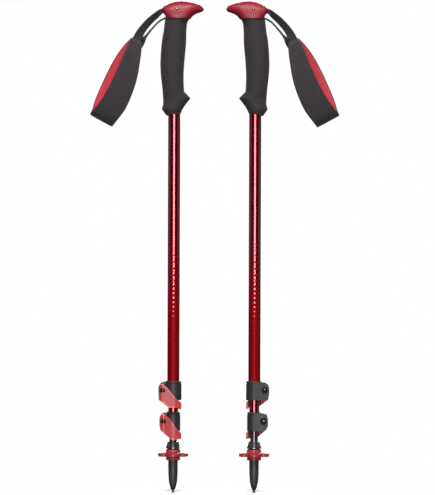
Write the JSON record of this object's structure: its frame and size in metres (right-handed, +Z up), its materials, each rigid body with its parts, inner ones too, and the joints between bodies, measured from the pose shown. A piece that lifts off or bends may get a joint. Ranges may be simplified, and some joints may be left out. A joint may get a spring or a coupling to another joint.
{
  "type": "trekking poles",
  "caption": "Pair of telescoping walking poles with lever clamps, foam grips, wrist straps, small baskets and hard-metal tips, stored collapsed.",
  "frame": {"origin": "on the ground plane under the tips, midway between the two pole axes", "axes": "+Z up along the poles, +X from the left pole to the right pole, +Y away from the side that shows the left pole's levers"},
  "size_m": [0.3334, 0.04, 0.6554],
  "materials": {
    "cap": "satin red moulded plastic",
    "foam": "matte closed-cell EVA foam",
    "webbing": "black woven webbing and padded cloth",
    "lining": "red brushed lining",
    "anodised_tube": "dark red anodised, gloss turning to matte",
    "black_tube": "black anodised",
    "nylon": "black glass-filled nylon",
    "lever": "satin red lever",
    "dark_steel": "blackened steel",
    "steel": "plated steel and hard metal",
    "gloss_black": "gloss black moulded plastic",
    "basket": "satin red flexible plastic",
    "tip_plastic": "black hard plastic"
  },
  "bodies": {
    "left_upper_section": {"left_cap": "cap", "left_grip_foam": "foam", "left_strap_pin": "dark_steel", "left_strap_wedge": "nylon", "left_strap_anchor": "webbing", "left_upper_shaft": "anodised_tube", "left_upper_liner": "nylon", "left_upper_clamp": "nylon", "left_upper_barrel_nut": "dark_steel", "left_upper_bolt": "steel", "left_upper_washer": "steel"},
    "left_upper_lever": {"left_upper_lever": "lever"},
    "left_middle_section": {"left_middle_shaft": "anodised_tube", "left_middle_bush": "nylon", "left_lower_liner": "nylon", "left_lower_clamp": "nylon", "left_lower_barrel_nut": "dark_steel", "left_lower_bolt": "steel", "left_lower_washer": "steel"},
    "left_lower_lever": {"left_lower_lever": "lever"},
    "left_lower_section": {"left_lower_shaft": "black_tube", "left_lower_bush": "nylon", "left_tip_collar": "gloss_black", "left_basket": "basket", "left_tip_body": "tip_plastic", "left_carbide_tip": "steel"},
    "left_strap": {"left_strap_webbing": "webbing", "left_strap_band": "webbing", "left_strap_lining": "lining"},
    "right_upper_section": {"right_cap": "cap", "right_grip_foam": "foam", "right_strap_pin": "dark_steel", "right_strap_wedge": "nylon", "right_strap_anchor": "webbing", "right_upper_shaft": "anodised_tube", "right_upper_liner": "nylon", "right_upper_clamp": "nylon", "right_upper_barrel_nut": "dark_steel", "right_upper_bolt": "steel", "right_upper_washer": "steel"},
    "right_upper_lever": {"right_upper_lever": "lever"},
    "right_middle_section": {"right_middle_shaft": "anodised_tube", "right_middle_bush": "nylon", "right_lower_liner": "nylon", "right_lower_clamp": "nylon", "right_lower_barrel_nut": "dark_steel", "right_lower_bolt": "steel", "right_lower_washer": "steel"},
    "right_lower_lever": {"right_lower_lever": "lever"},
    "right_lower_section": {"right_lower_shaft": "black_tube", "right_lower_bush": "nylon", "right_tip_collar": "gloss_black", "right_basket": "basket", "right_tip_body": "tip_plastic", "right_carbide_tip": "steel"},
    "right_strap": {"right_strap_webbing": "webbing", "right_strap_band": "webbing", "right_strap_lining": "lining"}
  },
  "joints": [
    {"name": "left_middle_slide", "type": "slide", "parent": "left_upper_section", "child": "left_middle_section", "axis": [0, 0, -1], "range_m": [0, 0.375]},
    {"name": "left_lower_slide", "type": "slide", "parent": "left_middle_section", "child": "left_lower_section", "axis": [0, 0, -1], "range_m": [0, 0.375]},
    {"name": "left_upper_lever_turn", "type": "hinge", "parent": "left_upper_section", "child": "left_upper_lever", "pos_m": [-0.0679, -0.0097, 0.1365], "axis": [0, 0, -1], "range_deg": [0, 110]},
    {"name": "left_lower_lever_turn", "type": "hinge", "parent": "left_middle_section", "child": "left_lower_lever", "pos_m": [-0.0664, -0.0097, 0.0953], "axis": [0, 0, -1], "range_deg": [0, 110]},
    {"name": "left_strap_swing", "type": "hinge", "parent": "left_upper_section", "child": "left_strap", "pos_m": [-0.0722, 0, 0.6414], "axis": [0, 1, 0], "range_deg": [-8, 90]},
    {"name": "right_middle_slide", "type": "slide", "parent": "right_upper_section", "child": "right_middle_section", "axis": [0, 0, -1], "range_m": [0, 0.375]},
    {"name": "right_lower_slide", "type": "slide", "parent": "right_middle_section", "child": "right_lower_section", "axis": [0, 0, -1], "range_m": [0, 0.375]},
    {"name": "right_upper_lever_turn", "type": "hinge", "parent": "right_upper_section", "child": "right_upper_lever", "pos_m": [0.0679, 0.0097, 0.1365], "axis": [0, 0, -1], "range_deg": [0, 110]},
    {"name": "right_lower_lever_turn", "type": "hinge", "parent": "right_middle_section", "child": "right_lower_lever", "pos_m": [0.0664, 0.0097, 0.0953], "axis": [0, 0, -1], "range_deg": [0, 110]},
    {"name": "right_strap_swing", "type": "hinge", "parent": "right_upper_section", "child": "right_strap", "pos_m": [0.0722, 0, 0.6414], "axis": [0, -1, 0], "range_deg": [-8, 90]},
    {"name": "poles_carried_apart", "type": "slide", "parent": "left_upper_section", "child": "right_upper_section", "axis": [1, 0, 0], "range_m": [0, 0.3]}
  ]
}
